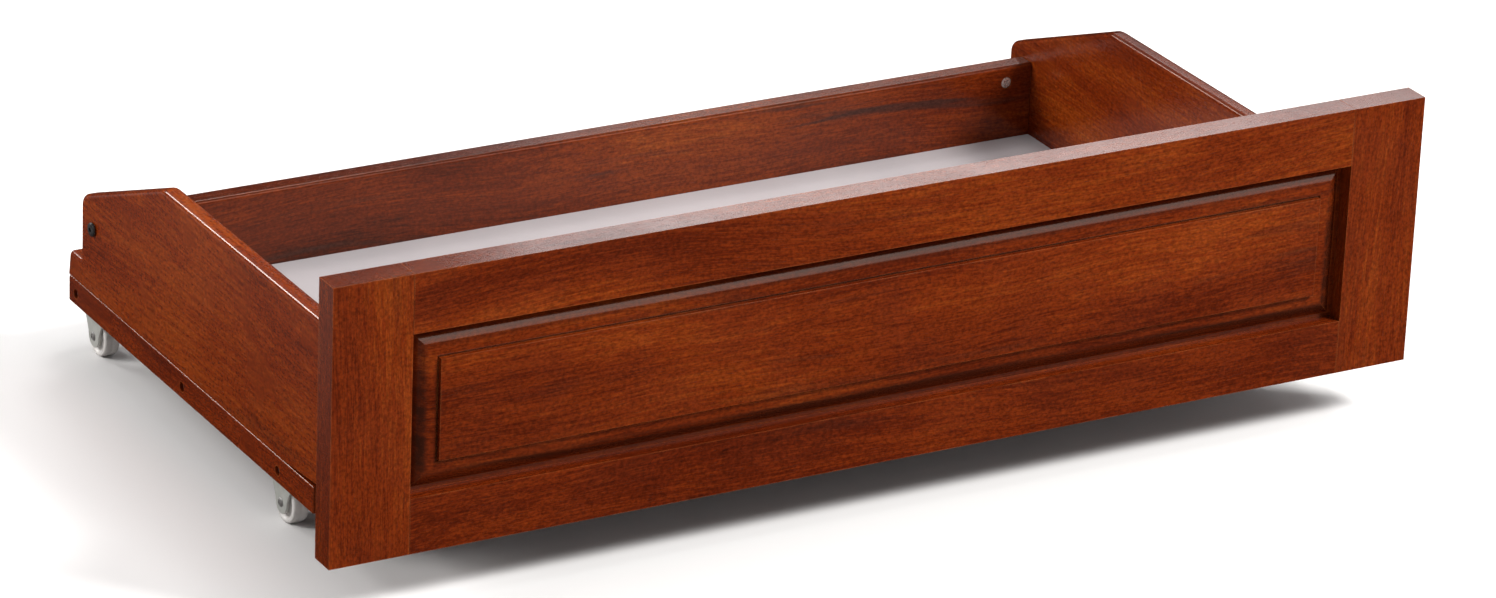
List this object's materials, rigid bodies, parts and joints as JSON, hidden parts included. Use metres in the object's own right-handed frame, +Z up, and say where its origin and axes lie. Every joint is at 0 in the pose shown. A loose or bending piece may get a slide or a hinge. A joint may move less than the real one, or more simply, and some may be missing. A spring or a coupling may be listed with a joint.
{
  "type": "trundle bed box",
  "caption": "Low rolling under-bed trundle tray in cherry-stained wood: raised-panel front, sloped side panels, low back, white bottom board, rigid casters.",
  "frame": {"origin": "on the floor, under the middle of the plan outline, with the wheels standing on z = 0", "axes": "+X along the width, -Y out of the raised-panel front, +Z up"},
  "size_m": [1.016, 0.592, 0.2875],
  "materials": {
    "cherry_wood": "satin to gloss clear coat over a red-brown cherry stain, fine pores along the grain",
    "frame_wood": "same stain, thinner and duller, on the pieces under the tray",
    "white_board": "smooth white-faced thin board, satin",
    "caster_bracket": "moulded pale grey",
    "caster_wheel": "moulded off-white",
    "zinc_steel": "zinc plated",
    "dark_steel": "black oxide",
    "nickel": "nickel plated"
  },
  "bodies": {
    "trundle": {"front_left_stile": "cherry_wood", "front_right_stile": "cherry_wood", "front_top_rail": "cherry_wood", "front_bottom_rail": "cherry_wood", "front_raised_panel": "cherry_wood", "left_side_panel": "cherry_wood", "right_side_panel": "cherry_wood", "back_panel": "cherry_wood", "left_runner_rail": "cherry_wood", "right_runner_rail": "cherry_wood", "front_batten": "frame_wood", "front_cross_slat": "frame_wood", "middle_cross_slat": "frame_wood", "rear_cross_slat": "frame_wood", "bottom_board": "white_board", "left_front_runner_screw": "dark_steel", "right_front_runner_screw": "dark_steel", "left_middle_runner_screw": "dark_steel", "right_middle_runner_screw": "dark_steel", "left_rear_runner_screw": "dark_steel", "right_rear_runner_screw": "dark_steel", "left_back_bolt": "dark_steel", "left_back_barrel_nut": "nickel", "left_lower_front_stud": "zinc_steel", "left_lower_cam_nut": "nickel", "left_upper_front_stud": "zinc_steel", "left_upper_cam_nut": "nickel", "left_front_side_screw": "zinc_steel", "left_rear_side_screw": "zinc_steel", "right_back_bolt": "dark_steel", "right_back_barrel_nut": "nickel", "right_lower_front_stud": "zinc_steel", "right_lower_cam_nut": "nickel", "right_upper_front_stud": "zinc_steel", "right_upper_cam_nut": "nickel", "right_front_side_screw": "zinc_steel", "right_rear_side_screw": "zinc_steel", "front_left_caster_bracket": "caster_bracket", "front_left_caster_axle": "zinc_steel", "front_left_plate_screw_a": "zinc_steel", "front_left_plate_screw_b": "zinc_steel", "front_right_caster_bracket": "caster_bracket", "front_right_caster_axle": "zinc_steel", "front_right_plate_screw_a": "zinc_steel", "front_right_plate_screw_b": "zinc_steel", "rear_left_caster_bracket": "caster_bracket", "rear_left_caster_axle": "zinc_steel", "rear_left_plate_screw_a": "zinc_steel", "rear_left_plate_screw_b": "zinc_steel", "rear_right_caster_bracket": "caster_bracket", "rear_right_caster_axle": "zinc_steel", "rear_right_plate_screw_a": "zinc_steel", "rear_right_plate_screw_b": "zinc_steel"},
    "front_left_wheel": {"front_left_caster_wheel": "caster_wheel"},
    "front_right_wheel": {"front_right_caster_wheel": "caster_wheel"},
    "rear_left_wheel": {"rear_left_caster_wheel": "caster_wheel"},
    "rear_right_wheel": {"rear_right_caster_wheel": "caster_wheel"}
  },
  "joints": [
    {"name": "front_left_wheel_roll", "type": "hinge", "parent": "trundle", "child": "front_left_wheel", "pos_m": [-0.4499, -0.1085, 0.0185], "axis": [1, 0, 0], "continuous": true},
    {"name": "front_right_wheel_roll", "type": "hinge", "parent": "trundle", "child": "front_right_wheel", "pos_m": [0.4499, -0.1085, 0.0185], "axis": [1, 0, 0], "continuous": true},
    {"name": "rear_left_wheel_roll", "type": "hinge", "parent": "trundle", "child": "rear_left_wheel", "pos_m": [-0.4499, 0.2625, 0.0185], "axis": [1, 0, 0], "continuous": true},
    {"name": "rear_right_wheel_roll", "type": "hinge", "parent": "trundle", "child": "rear_right_wheel", "pos_m": [0.4499, 0.2625, 0.0185], "axis": [1, 0, 0], "continuous": true}
  ]
}
